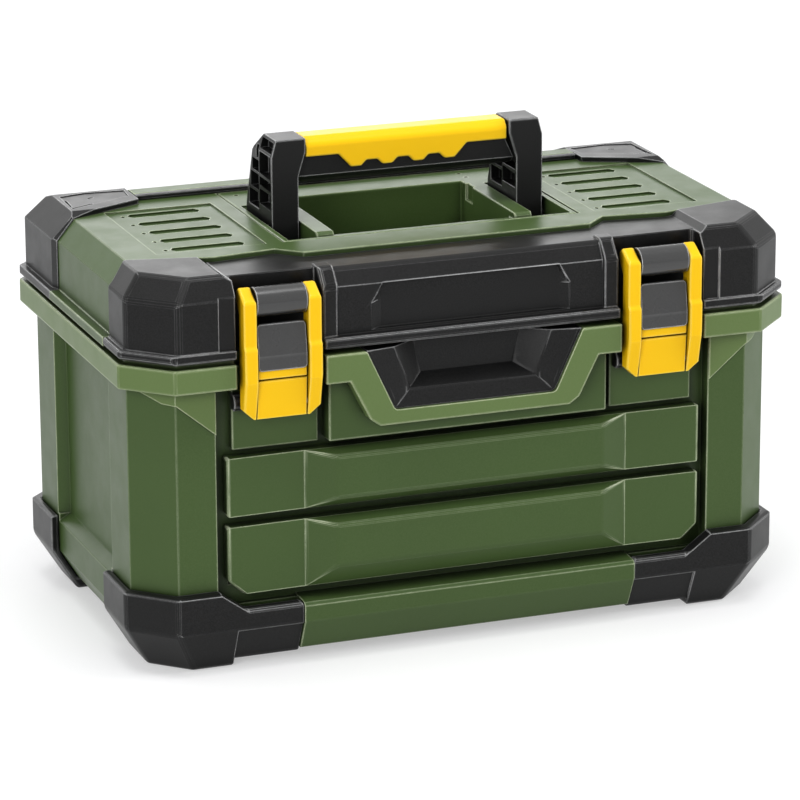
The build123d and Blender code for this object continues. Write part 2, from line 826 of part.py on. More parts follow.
# Corner feet
foot_levels = (
    (0.0, foot_x - foot_low_side_taper, foot_y - foot_low_front_taper, foot_low_cut),
    (crease_z, foot_x, foot_y, foot_cut),
    (foot_top_z, foot_x, foot_y, foot_cut),
    (foot_top_z + foot_top_rise, column_x + foot_top_t, column_y + foot_top_t, column_cut),
)
foot_past_x = foot_x + over
foot_past_y = foot_y + over
foot_in_x = sill_half_w - over
foot_room = [(z, w + cap_gap, d + cap_gap, cut) for z, w, d, cut in base_levels]
for end_name, sy in (("front", -1), ("rear", 1)):
    for side_name, sx in sides:
        with BuildPart() as foot:
            tapered(foot_levels)
            tapered(foot_room, Mode.SUBTRACT)
            block((sx * sill_half_w, sx * foot_past_x), (sy * foot_run, sy * foot_past_y),
                  (0, foot_top_z + over), Mode.INTERSECT)
            step = [(sx * x, z) for x, z in (
                (foot_in_x, sill_top), (foot_step_x, sill_top), (foot_step_x + foot_step_run, foot_top_z),
                (foot_step_x + foot_step_run, foot_top_z + over), (foot_in_x, foot_top_z + over),
            )]
            blend((
                (Plane.XZ.offset(-sy * foot_past_y), step),
                (Plane.XZ.offset(sy * front_wall_y), [(x, z + sill_rise) for x, z in step]),
            ), Mode.SUBTRACT)
            block((sx * foot_in_x, sx * foot_notch_x), (sy * foot_run, sy * foot_past_y),
                  (-over, foot_notch_h), Mode.SUBTRACT)
            relief_z = crease_z - foot_relief_drop
            along_x((sx * foot_in_x, sx * foot_notch_x), [(sy * y, z) for y, z in (
                (foot_y - foot_crease_run * foot_relief_drop - foot_relief_d, relief_z),
                (foot_past_y, relief_z),
                (foot_past_y, 0), (foot_y - foot_low_front_taper - foot_relief_d, 0),
            )], Mode.SUBTRACT)
            with Locations([Location((sx * x, sy * y, foot_screw_z)) for x, y in foot_screw_places]):
                Cylinder(screw_head_d / 2 + cap_gap, foot_screw_z + over,
                         align=(Align.CENTER, Align.CENTER, Align.MAX), mode=Mode.SUBTRACT)
                screw_hole(screw_d + 2 * pin_gap)
        save(foot, f"foot_{end_name}_{side_name}")

with BuildPart() as foot_screws:
    with Locations(foot_screws_at):
        screw(foot_screw_len)
save(foot_screws, "foot_screws")

# Drawers with their runners
for bay_name, front_z, front_h, low_slope in bays:
    box_z = front_z + bay_margin + box_clear
    box_top = front_z + front_h - bay_margin - box_clear
    for side_name, sx in sides:
        with BuildPart() as runner:
            runner_top = box_top - box_flange_t - seat_gap
            block((sx * (box_x + flange_gap), sx * bay_half_w), (cabinet_front, cabinet_back - bay_wall),
                  (runner_top - runner_h, runner_top))
        save(runner, f"runner_{bay_name}_{side_name}")

    with BuildPart() as drawer_box:
        block((-box_x, box_x), (drawer_back_y, box_back), (box_z, box_top))
        block((-box_flange_x, box_flange_x), (drawer_back_y, box_back), (box_top - box_flange_t, box_top))
        block((box_wall - box_x, box_x - box_wall), (drawer_back_y + box_wall, box_back - box_wall),
              (box_z + box_wall, box_top), Mode.SUBTRACT)
    save(drawer_box, f"{bay_name}_drawer_box")

    with BuildPart() as drawer_front:
        front_top = front_z + front_h
        block((-drawer_half_w, drawer_half_w), (drawer_wing_y, drawer_back_y), (front_z, front_top))
        bar_base_x = drawer_bar_half_w + drawer_bar_slope
        blend((
            (Plane.XZ.offset(-drawer_wing_y), trapezoid(bar_base_x, bar_base_x, front_top, front_z)),
            (Plane.XZ.offset(drawer_bar_proud - drawer_wing_y),
             trapezoid(drawer_bar_half_w, drawer_bar_half_w, front_top - drawer_bar_top_slope,
                       front_z + low_slope)),
        ))
        hollow_x = box_x - 2 * drawer_skin
        block((-hollow_x, hollow_x), (drawer_wing_y + drawer_skin, drawer_back_y),
              (box_z + drawer_skin, box_top - drawer_skin), Mode.SUBTRACT)
        if bay_name == "lower":
            for side_name, sx in sides:
                along_y((drawer_wing_y, drawer_back_y), (
                    (sx * drawer_half_w, front_z), (sx * (drawer_half_w - drawer_corner_w), front_z),
                    (sx * drawer_half_w, front_z + drawer_corner_h),
                ), Mode.SUBTRACT)
    save(drawer_front, f"{bay_name}_drawer_front")

# Lid: the shell, with a step in front and at the rear corners where its black caps sit
lid_levels = (
    (lid_z, lid_x, lid_y, lid_cut),
    (lid_shoulder_z, lid_x, lid_y, lid_cut),
    (lid_top_z, lid_x - lid_top_taper, lid_y - lid_top_depth_taper, lid_top_cut),
)
lid_room_levels = (
    (lid_z - over, lid_x - lid_skin, lid_y - lid_skin, lid_room_cut),
    (lid_shoulder_z - over, lid_x - lid_skin, lid_y - lid_skin, lid_room_cut),
    (lid_top_z - lid_top_t, lid_x - lid_skin - lid_top_taper, lid_y - lid_skin - lid_top_depth_taper,
     lid_room_cut),
)
lid_fit_levels = [(z, w + cap_gap, d + cap_gap, cut) for z, w, d, cut in lid_levels]
cap_levels = (
    (lid_z, cap_x, cap_y, cap_cut),
    (lid_shoulder_z + cap_lift, cap_x, cap_y, cap_cut),
    (lid_top_z + cap_lift, cap_x - cap_top_taper, cap_y - cap_top_depth_taper, cap_top_cut),
)
rear_cap_top = lid_top_z + rear_cap_h
rear_cap_share = (rear_cap_top - lid_shoulder_z - cap_lift) / (lid_top_z - lid_shoulder_z)
rear_cap_levels = (
    (lid_z, cap_x, cap_y, cap_cut),
    (lid_shoulder_z + cap_lift, cap_x, cap_y, cap_cut),
    (rear_cap_top, cap_x - rear_cap_share * cap_top_taper, cap_y - rear_cap_share * cap_top_depth_taper,
     cap_top_cut),
)
flange_plan = octagon(flange_x, flange_y, flange_cut)


def bumper_plan(grow=0):
    """The plan of the front bumper, with its rear edge moved back by grow."""
    edge = [(x, y + grow) for x, y in (
        (plate_front_x, brow_rear_y), (plate_shoulder_x, plate_shoulder_y), (bumper_mid_x, bumper_mid_y),
        (lid_x - lid_top_taper, bumper_side_y), (lid_x, bumper_end_y), (beyond_x, bumper_end_y),
    )] + [(beyond_x, -beyond_y)]
    return both(edge)


def rear_plan(sx, grow=0):
    """The plan of one rear cap, with its edges towards the lid's middle moved out by grow."""
    return [(sx * x, y) for x, y in (
        (beyond_x, rear_cap_y - grow), (lid_x - lid_top_taper, rear_cap_y - grow),
        (rear_cap_mid_x - grow, rear_cap_mid_y - grow), (rear_cap_nose_x - grow, rear_cap_nose_y - grow),
        (rear_cap_nose_x - grow, beyond_y), (beyond_x, beyond_y),
    )]


def rib_plan(x, y):
    """The plan of one slot of the ribbed panels, pointed at both ends."""
    return (
        (x, y), (x + rib_point, y - rib_w / 2), (x + rib_run - rib_point, y - rib_w / 2), (x + rib_run, y),
        (x + rib_run - rib_point, y + rib_w / 2), (x + rib_point, y + rib_w / 2),
    )


def rear_fall(y, z):
    """Take off what stands above the slope at the lid's rear, which starts at y and z."""
    fall = rear_slope * (beyond_y - y)
    along_x((-beyond_x, beyond_x), ((y, z), (beyond_y, z - fall), (beyond_y, z + fall), (y, z + fall)),
            Mode.SUBTRACT)


def cap_front(y, grow, rise):
    """The lid's outline across, seen from the front at y, moved out by grow and up by rise."""
    return Plane.XZ.offset(-y), both((
        (beyond_x, lid_z - over), (beyond_x, lid_z + flange_h), (lid_x + grow, lid_z + flange_h),
        (lid_x + grow, lid_shoulder_z + grow / 2), (lid_x + grow - lid_top_taper, lid_top_z + rise),
    ))


def cap_steps(grow):
    """What the lid shell leaves free for its caps: the brow's room and a step on top."""
    brow_x = brow_room_half_w + grow
    block((-brow_x, brow_x), (-beyond_y, brow_back_y + grow), (lid_z - over, lid_top_z + over), Mode.SUBTRACT)
    for plan in (bumper_plan(grow), rear_plan(-1, grow), rear_plan(1, grow)):
        along_z((cap_seat_z - grow, lid_top_z + over), plan, Mode.SUBTRACT)


with BuildPart() as lid_room:
    tapered(lid_room_levels)
    rear_fall(rear_slope_y, lid_top_z - lid_top_t)
    cap_steps(lid_skin)

with BuildPart() as lid_fit:
    tapered(lid_fit_levels)
    rear_fall(rear_slope_y, lid_top_z + cap_gap)
    cap_steps(-cap_gap)

with BuildPart() as lid_shell:
    tapered(lid_levels)
    block((-deck_half_w, deck_half_w), (bar_y + bar_t + cap_gap, deck_rear_y),
          (lid_shoulder_z, lid_top_z + deck_h))
    rear_fall(rear_slope_y, lid_top_z + deck_h)
    for deck_x in ((-beyond_x, -deck_half_w), (deck_half_w, beyond_x)):
        along_x(deck_x, (
            (rear_slope_y, lid_top_z), (beyond_y, lid_top_z - rear_slope * (beyond_y - rear_slope_y)),
            (beyond_y, lid_top_z + over), (rear_slope_y, lid_top_z + over),
        ), Mode.SUBTRACT)
    cap_steps(0)
    for side_name, sx in sides:
        block((sx * (lid_x - over), sx * flange_x), (bumper_end_y + cap_gap, rear_cap_y - cap_gap),
              (lid_z, lid_z + flange_h))
    flange_back_x = rear_cap_nose_x - cap_gap
    block((-flange_back_x, flange_back_x), (lid_y - over, flange_y), (lid_z, lid_z + flange_h))
    add(lid_room.part, mode=Mode.SUBTRACT)
    block((-tray_half_w - tray_gap, tray_half_w + tray_gap),
          (tray_front_y - tray_gap, tray_rear_y + tray_gap),
          (lid_top_z - tray_t, lid_top_z + over), Mode.SUBTRACT)
    block((-tray_hole_half_w, tray_hole_half_w), (tray_hole_front_y, tray_hole_rear_y),
          (lid_top_z - lid_top_t - over, lid_top_z), Mode.SUBTRACT)
    for side_name, sx in sides:
        block((sx * rib_panel_in, sx * rib_panel_out), (rib_panel_front, rib_panel_rear),
              (rib_panel_z, lid_top_z + over), Mode.SUBTRACT)
        for i in range(rib_count):
            rib_y = rib_first_y + i * rib_pitch
            pit_x = rib_pit_x[side_name]
            along_z((rib_panel_z - rib_d, lid_top_z), rib_plan(pit_x + rib_pit_gap, rib_y), Mode.SUBTRACT)
            along_z((rib_panel_z - rib_d, lid_top_z), (
                (pit_x - rib_pit_w / 2, rib_y), (pit_x, rib_y - rib_pit_run / 2),
                (pit_x + rib_pit_w / 2, rib_y),
                (pit_x, rib_y + rib_pit_run / 2),
            ), Mode.SUBTRACT)
    with Locations(leaf_screws_at):
        screw_hole(screw_d + 2 * pin_gap)
save(lid_shell, "lid_shell")

# Front bumper: corner caps, the two latch bays and the brow between them
brow_profile = (
    (brow_flange_y, lid_z), (brow_flange_y, lid_z + brow_flange_h), (brow_face_y, lid_z + brow_flange_h),
    (brow_face_y, brow_shoulder_z), (brow_top_y, brow_top_z), (brow_rear_y + over, brow_top_z),
    (brow_rear_y + over, cap_seat_z + cap_gap), (brow_back_y - cap_gap, cap_seat_z + cap_gap),
    (brow_back_y - cap_gap, lid_z),
)
with BuildPart() as brow_panel:
    blend((
        (Plane.XZ.offset(-brow_face_y), (
            (-brow_panel_x, brow_panel_z), (brow_panel_x, brow_panel_z), (brow_panel_x, brow_panel_corner_z),
            (brow_panel_mid_x, brow_shoulder_z), (-brow_panel_mid_x, brow_shoulder_z),
            (-brow_panel_x, brow_panel_corner_z),
        )),
        (Plane.XZ.offset(-brow_face_y - brow_panel_d), (
            (-brow_panel_mid_x, brow_panel_z), (brow_panel_mid_x, brow_panel_z),
            (brow_panel_mid_x, brow_panel_corner_z), (brow_panel_mid_x, brow_shoulder_z),
            (-brow_panel_mid_x, brow_shoulder_z), (-brow_panel_mid_x, brow_panel_corner_z),
        )),
    ))

with BuildPart() as lid_front_bumper:
    tapered(cap_levels)
    along_z((lid_z, lid_z + flange_h), flange_plan)
    along_z((lid_z - over, lid_top_z + over), bumper_plan(), Mode.INTERSECT)
    add(lid_fit.part, mode=Mode.SUBTRACT)
    block((-latch_bay_in, latch_bay_in), (-beyond_y, latch_bay_y), (lid_z - over, lid_top_z + over),
          Mode.SUBTRACT)
    strip_over_z = lid_top_z + brow_drop
    along_y((-beyond_y, bumper_end_y), trapezoid(strip_x + strip_slope, strip_x, strip_over_z, brow_top_z),
            Mode.SUBTRACT)
    along_x((-brow_half_w, brow_half_w), brow_profile)
    add(brow_panel.part, mode=Mode.SUBTRACT)
    for side_name, sx in sides:
        along_x((sx * brow_half_w, sx * latch_bay_in), (
            (brow_flange_y, lid_z), (brow_flange_y, lid_z + brow_flange_h),
            (brow_rib_y, lid_z + brow_flange_h),
            (brow_rib_y, brow_shoulder_z + over), (brow_top_y - over, brow_top_z + brow_rib_lift),
            (brow_back_y, brow_top_z + brow_rib_lift), (brow_back_y, lid_z),
        ))
        block((sx * latch_bay_in, sx * latch_bay_out), (-beyond_y, latch_bay_y),
              (lid_z - over, lid_top_z + over), Mode.SUBTRACT)
        block((sx * latch_bay_out, sx * (latch_bay_out + cap_step_w)), (-beyond_y, cap_step_d - cap_y),
              (lid_z + flange_h, lid_top_z + over), Mode.SUBTRACT)
    add(lid_fit.part, mode=Mode.SUBTRACT)
    block((-brow_hollow_x, brow_hollow_x), (brow_face_y + brow_panel_d + brow_skin, brow_back_y - brow_skin),
          (lid_z, lid_z + brow_hollow_h), Mode.SUBTRACT)
save(lid_front_bumper, "lid_front_bumper")

with BuildPart() as cap_rim:
    rim_grow = cap_t + cap_gap
    rim_rise = rear_cap_h + cap_gap
    blend((
        cap_front(rear_cap_y, rear_cap_edge, rear_cap_edge),
        cap_front(rear_cap_y + rear_cap_run, rim_grow, rim_rise),
        cap_front(beyond_y, rim_grow, rim_rise),
    ))

for side_name, sx in sides:
    with BuildPart() as rear_cap:
        tapered(rear_cap_levels)
        rear_fall(rear_cap_slope_y, rear_cap_top)
        along_z((lid_z, lid_z + flange_h), flange_plan)
        along_z((lid_z - over, rear_cap_top + over), rear_plan(sx), Mode.INTERSECT)
        add(cap_rim.part, mode=Mode.INTERSECT)
        add(lid_fit.part, mode=Mode.SUBTRACT)
        for plan, depth in ((cap_panel_plan, cap_panel_d), *((slot, cap_slot_d) for slot in cap_slots)):
            along_z((rear_cap_top - depth, rear_cap_top + over),
                    [(sx * x, y) for x, y in plan], Mode.SUBTRACT)
    save(rear_cap, f"lid_rear_cap_{side_name}")

with BuildPart() as lid_rear_bar:
    block((-deck_half_w, deck_half_w), (bar_y, bar_y + bar_t), (lid_top_z, lid_top_z + deck_h))
save(lid_rear_bar, "lid_rear_bar")

# Handle tray, let into the lid, with the pockets that take the handle's posts
with BuildPart() as lid_tray:
    block((-tray_half_w, tray_half_w), (tray_front_y, tray_rear_y), (tray_z, lid_top_z))
    block((-bowl_half_w - tray_wall, bowl_half_w + tray_wall),
          (bowl_front_y - tray_wall, bowl_rear_y + tray_wall),
          (bowl_z - tray_wall, tray_z))
    for side_name, sx in sides:
        block((sx * (pocket_in - tray_wall), sx * (pocket_out + pocket_wall)),
              (pocket_front_y - pocket_wall, pocket_rear_y + pocket_wall), (pocket_z - tray_wall, tray_z))
    block((-pocket_in, pocket_in), (pocket_front_y - pocket_wall, bowl_front_y),
          (ledge_top_z - tray_wall, tray_z))
    along_x((-pocket_in, pocket_in), (
        (pocket_front_y, ledge_top_z), (rail_y, ledge_top_z), (rail_y, lid_top_z - rail_edge),
        (rail_y + rail_edge, lid_top_z), (rail_y + rail_edge, lid_top_z + over),
        (pocket_front_y, lid_top_z + over),
    ), Mode.SUBTRACT)
    block((-bowl_half_w, bowl_half_w), (bowl_front_y + tray_ledge_run, bowl_rear_y), (bowl_z, lid_top_z),
          Mode.SUBTRACT)
    block((-bowl_half_w, bowl_half_w), (rail_y, bowl_rear_y), (ledge_top_z, lid_top_z), Mode.SUBTRACT)
    for side_name, sx in sides:
        block((sx * pocket_in, sx * pocket_out), (pocket_front_y, pocket_rear_y), (pocket_z, lid_top_z),
              Mode.SUBTRACT)
        block((sx * bowl_half_w, sx * (bowl_half_w + notch_d)), (notch_y, notch_y + notch_w),
              (lid_top_z - notch_h, lid_top_z), Mode.SUBTRACT)
        along_x((sx * pocket_in, sx * pocket_out), (
            (stop_y, pocket_z), (stop_y, post_under(stop_y) - seat_gap),
            (pocket_rear_y, post_under(pocket_rear_y) - seat_gap), (pocket_rear_y, pocket_z),
        ))
        rod_x((sx * (pocket_in - tray_wall - over), sx * (pocket_out + pocket_wall + over)), pivot_y, pivot_z,
              pin_d + 2 * pin_gap, Mode.SUBTRACT)
        with Locations([(sx * x, y, tray_z) for x, y in tray_holes]):
            Cylinder(tray_hole_d / 2, 3 * tray_t, mode=Mode.SUBTRACT)
save(lid_tray, "lid_tray")

for side_name, sx in sides:
    with BuildPart() as handle_pin:
        rod_x((sx * (pocket_in - tray_wall - pin_end), sx * (pocket_out + pocket_wall + pin_end)),
              pivot_y, pivot_z,
              pin_d)
    save(handle_pin, f"handle_pin_{side_name}")

# Carrying handle: two posts, the core between them and the grip over the core
for side_name, sx in sides:
    with BuildPart() as handle_post:
        along_x((sx * post_top_in, sx * post_out), (
            (post_front_y, pivot_z), (post_front_y, post_top_z), (post_top_rear_y, post_top_z),
            (post_mid_rear_y, post_mid_z), (post_base_rear_y, post_base_z),
            (post_base_rear_y, post_low_z), (pivot_y, post_under(pivot_y)),
        ))
        rod_x((sx * post_top_in, sx * post_out), pivot_y, pivot_z, 2 * lug_r)
        along_y((post_front_y - over, post_base_rear_y + over), [(sx * x, z) for x, z in (
            (post_in, pivot_z - 2 * lug_r), (post_in, post_lean_z), (post_top_in, post_lean_top_z),
            (post_top_in, post_top_z), (post_top_out, post_top_z), (post_out, post_out_z),
            (post_out, pivot_z - 2 * lug_r),
        )], Mode.INTERSECT)
        cells = [(post_front_y + cell_rim, cell_mid_y - cell_rib / 2, share) for share in front_cells]
        cells += [(cell_mid_y + cell_rib / 2, post_base_rear_y, share) for share in rear_cells]
        for front, back, share in cells:
            low, high = [lid_top_z + part * (post_top_z - lid_top_z) for part in share]
            cell = (front, min(back, post_back(high) - cell_rim)), (low, high)
            block((sx * (post_out - cell_d), sx * (post_out + over)), *cell, Mode.SUBTRACT)
            if high < cell_inner_z:
                block((sx * (post_in - over), sx * (post_in + cell_d)), *cell, Mode.SUBTRACT)
        rod_x((sx * (post_in - over), sx * (post_out + over)), pivot_y, pivot_z, pin_d + 2 * pin_gap,
              Mode.SUBTRACT)
    save(handle_post, f"handle_post_{side_name}")

core_profile = (
    (core_front_y + core_edge, core_low_z), (core_front_y, core_low_z + core_edge),
    (core_front_y, core_top_z),
    (core_rear_y, core_top_z), (core_rear_y, core_low_z + core_edge), (core_rear_y - core_edge, core_low_z),
)
with BuildPart() as handle_core:
    along_x((-post_in, post_in), core_profile)
    along_y((core_front_y, core_rear_y), both((
        (post_top_in, core_top_z), (post_top_in, post_lean_top_z), (post_in, post_lean_z),
        (post_in, core_low_z),
    )), Mode.INTERSECT)
save(handle_core, "handle_core")

grip_teeth = [(-grip_half_w, grip_low_z), (grip_mid - grip_finger_x - grip_finger_run, grip_low_z),
              (grip_mid - grip_finger_x, grip_finger_z)]
for i in (-1, 0, 1):
    scallop_x = grip_mid + i * scallop_pitch
    grip_teeth += [(scallop_x - scallop_half, grip_finger_z), (scallop_x - scallop_half / 2, scallop_z),
                   (scallop_x + scallop_half / 2, scallop_z), (scallop_x + scallop_half, grip_finger_z)]
grip_teeth += [(grip_mid + grip_finger_x, grip_finger_z),
               (grip_mid + grip_finger_x + grip_finger_run, grip_low_z), (grip_half_w, grip_low_z)]
with BuildPart() as handle_grip:
    along_x((-grip_half_w, grip_half_w), (
        (grip_front_y, grip_finger_z), (grip_front_y, grip_top_z - grip_edge),
        (grip_front_y + grip_edge, grip_top_z),
        (grip_rear_y - grip_edge, grip_top_z), (grip_rear_y, grip_top_z - grip_edge),
        (grip_rear_y, grip_finger_z),
    ))
    along_y((grip_front_y, grip_rear_y), grip_teeth + [(grip_half_w, grip_top_z), (-grip_half_w, grip_top_z)],
            Mode.INTERSECT)
    block((-grip_half_w, grip_half_w), (core_front_y - grip_fit, core_rear_y + grip_fit),
          (grip_finger_z - over, core_top_z + grip_fit), Mode.SUBTRACT)
save(handle_grip, "handle_grip")

# Latches: barrel and pin on the lid, the frame that swings and its sprung release
for side_name, sx in sides:
    mid = sx * latch_x
    window = (mid - window_half, mid + window_half)
    with BuildPart() as latch_barrel:
        barrel_span = (mid - barrel_half, mid + barrel_half)
        rod_x(barrel_span, barrel_y, barrel_z, 2 * barrel_r)
        block(barrel_span, (barrel_y, latch_bay_y), (barrel_z - barrel_web, barrel_z + barrel_web))
        rod_x(barrel_span, barrel_y, barrel_z, barrel_pin_d + 2 * pin_gap, Mode.SUBTRACT)
    save(latch_barrel, f"latch_barrel_{side_name}")

    with BuildPart() as latch_pin:
        rod_x((mid - barrel_pin_half, mid + barrel_pin_half), barrel_y, barrel_z, barrel_pin_d)
    save(latch_pin, f"latch_pin_{side_name}")

    with BuildPart() as latch_frame:
        along_x((mid - latch_half, mid + latch_half), (
            (latch_back_y, latch_low_z), (latch_back_y, latch_back_top_z), arm_back, arm_bend,
            arm_peak, (latch_front_y, latch_arm_front_z), (latch_front_y, latch_step_z + latch_step_rise),
            (latch_proud_y, latch_step_z), (latch_proud_y, latch_lean_z), (latch_low_y, latch_low_z),
        ))
        block(window, (latch_proud_y, arm_back[0]), (web_top_z, arm_peak[1]), Mode.SUBTRACT)
        block(window, (latch_proud_y, latch_back_y - web_t), (window_low_z, web_top_z), Mode.SUBTRACT)
        along_x(window, (
            (latch_proud_y, latch_low_z), (latch_plate_low_y, latch_low_z), (latch_plate_top_y, window_low_z),
            (latch_proud_y, window_low_z),
        ), Mode.SUBTRACT)
        for edge in (-1, 1):
            arm_in = mid + edge * window_half
            block((arm_in - edge * plate_groove_w, arm_in),
                  (latch_proud_y, latch_plate_low_y + plate_groove_d),
                  (latch_low_z, window_low_z), Mode.SUBTRACT)
            out = mid + edge * latch_half
            along_y((latch_proud_y, latch_back_y), (
                (out, latch_low_z), (out - edge * latch_corner_w, latch_low_z),
                (out, latch_low_z + latch_corner_h),
            ), Mode.SUBTRACT)
        rod_x((mid - barrel_pin_half, mid + barrel_pin_half), barrel_y, barrel_z, barrel_pin_d + 2 * pin_gap,
              Mode.SUBTRACT)
        rod_x((mid - barrel_pin_half, mid + barrel_pin_half), catch_pin_y, catch_pin_z, pin_d, Mode.SUBTRACT)
    save(latch_frame, f"latch_frame_{side_name}")

    with BuildPart() as latch_cross_pin:
        rod_x((mid - barrel_pin_half, mid + barrel_pin_half), catch_pin_y, catch_pin_z, pin_d)
    save(latch_cross_pin, f"latch_cross_pin_{side_name}")

    tongue = (mid - window_half + tongue_gap, mid + window_half - tongue_gap)
    with BuildPart() as latch_tongue:
        along_x(tongue, (
            (tongue_front_y, window_low_z + tongue_gap), (tongue_front_y, pad_crease_z),
            (tongue_lean_y, tongue_top_z), (tongue_back_y, tongue_top_z),
            (tongue_back_y, window_low_z + tongue_gap),
        ))
    save(latch_tongue, f"latch_tongue_{side_name}")

    with BuildPart() as latch_pad:
        along_x(tongue, (
            (tongue_front_y, pad_low_z), (pad_low_y, pad_low_z + pad_edge), (pad_low_y, pad_crease_z),
            (pad_top_y, pad_top_z - pad_edge), (pad_top_y + pad_edge, pad_top_z), (tongue_back_y, pad_top_z),
            (tongue_back_y, tongue_top_z), (tongue_lean_y, tongue_top_z), (tongue_front_y, pad_crease_z),
        ))
    save(latch_pad, f"latch_pad_{side_name}")

# Hinges at the back: brackets on the rim, leaves on the lid, a pin through each
for side_name, sx in sides:
    mid = sx * hinge_x
    with BuildPart() as hinge_bracket:
        block((mid - hinge_half, mid + hinge_half), (rim_half_d, hinge_plate_y), (rim_z, rim_top))
        for edge in (-1, 1):
            knuckle = (mid + edge * (knuckle_half + knuckle_gap), mid + edge * hinge_half)
            rod_x(knuckle, hinge_y, hinge_z, 2 * knuckle_r)
            along_x(knuckle, (
                (rim_half_d, rim_top - knuckle_rib_h), (hinge_plate_y, rim_top - knuckle_rib_h),
                (hinge_y + knuckle_r, hinge_z), (hinge_y, hinge_z), (rim_half_d, rim_top),
            ))
            rod_x(knuckle, hinge_y, hinge_z, hinge_pin_d + 2 * pin_gap, Mode.SUBTRACT)
        with Locations([at for at in bracket_screws_at if at.position.X * sx > 0]):
            screw_hole(screw_d + 2 * pin_gap)
    save(hinge_bracket, f"hinge_bracket_{side_name}")

    with BuildPart() as hinge_leaf:
        span = (mid - knuckle_half, mid + knuckle_half)
        rod_x(span, hinge_y, hinge_z, 2 * knuckle_r)
        along_x(span, (
            (lid_y, flange_top), (lid_y, lid_z + leaf_h), (leaf_plate_y, lid_z + leaf_h),
            (leaf_plate_y, flange_top + leaf_rise), (hinge_y, hinge_z + knuckle_r), (hinge_y, hinge_z),
            (flange_y, hinge_z), (flange_y, flange_top),
        ))
        rod_x(span, hinge_y, hinge_z, hinge_pin_d + 2 * pin_gap, Mode.SUBTRACT)
        with Locations([at for at in leaf_screws_at if at.position.X * sx > 0]):
            screw_hole(screw_d + 2 * pin_gap)
    save(hinge_leaf, f"hinge_leaf_{side_name}")

    with BuildPart() as hinge_pin:
        rod_x((mid - hinge_half, mid + hinge_half), hinge_y, hinge_z, hinge_pin_d)
    save(hinge_pin, f"hinge_pin_{side_name}")

with BuildPart() as bracket_screws:
    with Locations(bracket_screws_at):
        screw(screw_len)
save(bracket_screws, "bracket_screws")

with BuildPart() as leaf_screws:
    with Locations(leaf_screws_at):
        screw(screw_len)
save(leaf_screws, "leaf_screws")
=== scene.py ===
import json
import math

import bmesh
import bpy
from mathutils import Matrix, Vector
from mathutils.geometry import intersect_point_line


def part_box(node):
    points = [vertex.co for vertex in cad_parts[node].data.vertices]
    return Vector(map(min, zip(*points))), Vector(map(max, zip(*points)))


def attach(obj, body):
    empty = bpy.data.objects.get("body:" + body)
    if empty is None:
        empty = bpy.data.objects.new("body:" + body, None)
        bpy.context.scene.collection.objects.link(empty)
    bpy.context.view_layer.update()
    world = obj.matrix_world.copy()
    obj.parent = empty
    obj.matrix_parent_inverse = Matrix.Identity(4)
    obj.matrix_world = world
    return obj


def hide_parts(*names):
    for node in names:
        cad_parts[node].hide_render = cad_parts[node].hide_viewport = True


# Plastic tool box in its finishes, in metres. Each moulding is a copy of its CAD node with rounded arrises,
# the thumb pads are made here, and pins, screws and hinge parts are the CAD nodes themselves.

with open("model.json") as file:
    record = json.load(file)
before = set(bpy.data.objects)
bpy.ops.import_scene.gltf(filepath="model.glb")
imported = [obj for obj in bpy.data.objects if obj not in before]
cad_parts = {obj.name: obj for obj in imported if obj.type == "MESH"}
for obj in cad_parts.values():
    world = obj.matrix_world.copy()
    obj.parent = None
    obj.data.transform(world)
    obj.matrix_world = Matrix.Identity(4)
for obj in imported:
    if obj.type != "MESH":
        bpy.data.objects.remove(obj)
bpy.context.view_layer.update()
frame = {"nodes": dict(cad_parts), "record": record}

scene = bpy.context.scene
body_of_node = {member: body
                for body, members in frame["record"]["behaviour"]["bodies"].items()
                for member in members}
dressed = set()

# Looks that the plastics share
plastic_ior = 1.49
mottle_scale = 9
# Painted highlight: the scale of the noise that breaks up the pale arrises.
highlight_break_scale = 130
dulling_scale = 60
grain_scale = 1800
grain_height = 0.00002
polished_grain_height = 0.000005
grain_strength = 0.5
speckle_share = 0.02
arris_reach = 0.0011
arris_polish = -0.16
# Painted shade: within this reach of gaps and corners the colour is darkened towards this black.
painted_shade_reach = 0.014
painted_shade_black = (0.002, 0.002, 0.002, 1.0)

# Rounding of the moulded arrises
merge_reach = 0.000002
flat_within = math.radians(0.4)
room_share = 0.42
least_rounding = 0.0001
fold_area = 0.000005
fold_share = 0.1
narrower = 0.75
narrowest_share = 0.25
recess_lip_depth = 0.0022
recess_lip_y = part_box("finger_recess")[0][1] + recess_lip_depth

# Thumb pads
pad_corner = 0.0026
pad_corner_segments = 8
pad_plate_t = 0.0022
pad_crease_h = 0.0097
pad_lean = 0.163
pad_edge = 0.0005
pad_edge_turn = 1.0
pad_face_reach = 0.0002
pad_smooth_angle = math.radians(30)
cut_reach = 0.000001

# Studio
floor_half = 8.0
floor_drop = 0.0004
paper_grey = 0.62
paper_glow = 0.42
paper_roughness = 0.9
air_colour = (0.95, 0.97, 1.0, 1)
air_strength = 0.44
middle = (0, 0, 0.15)

# Camera
camera_azimuth = math.radians(-20.663)
camera_elevation = math.radians(16.846)
camera_roll = math.radians(-0.230)
camera_distance = 2.7021
camera_aim = Vector((-0.04809, -0.13052, 0.16649))
camera_sensor = 36
camera_lens = 194.856


# Shader nodes

def shade(red, green, blue):
    """A colour as a paint chart gives it, 0 to 255, turned to what a shader reads."""
    def channel(value):
        value = value / 255
        return value / 12.92 if value <= 0.04045 else ((value + 0.055) / 1.055) ** 2.4
    return (channel(red), channel(green), channel(blue), 1.0)


def wire(tree, source, output, target, socket):
    tree.links.new(source.outputs[output], target.inputs[socket])


def noise(tree, place, scale, detail, rough=0.5):
    node = tree.nodes.new("ShaderNodeTexNoise")
    node.inputs["Scale"].default_value = scale
    node.inputs["Detail"].default_value = detail
    node.inputs["Roughness"].default_value = rough
    tree.links.new(place, node.inputs["Vector"])
    return node.outputs["Fac"]


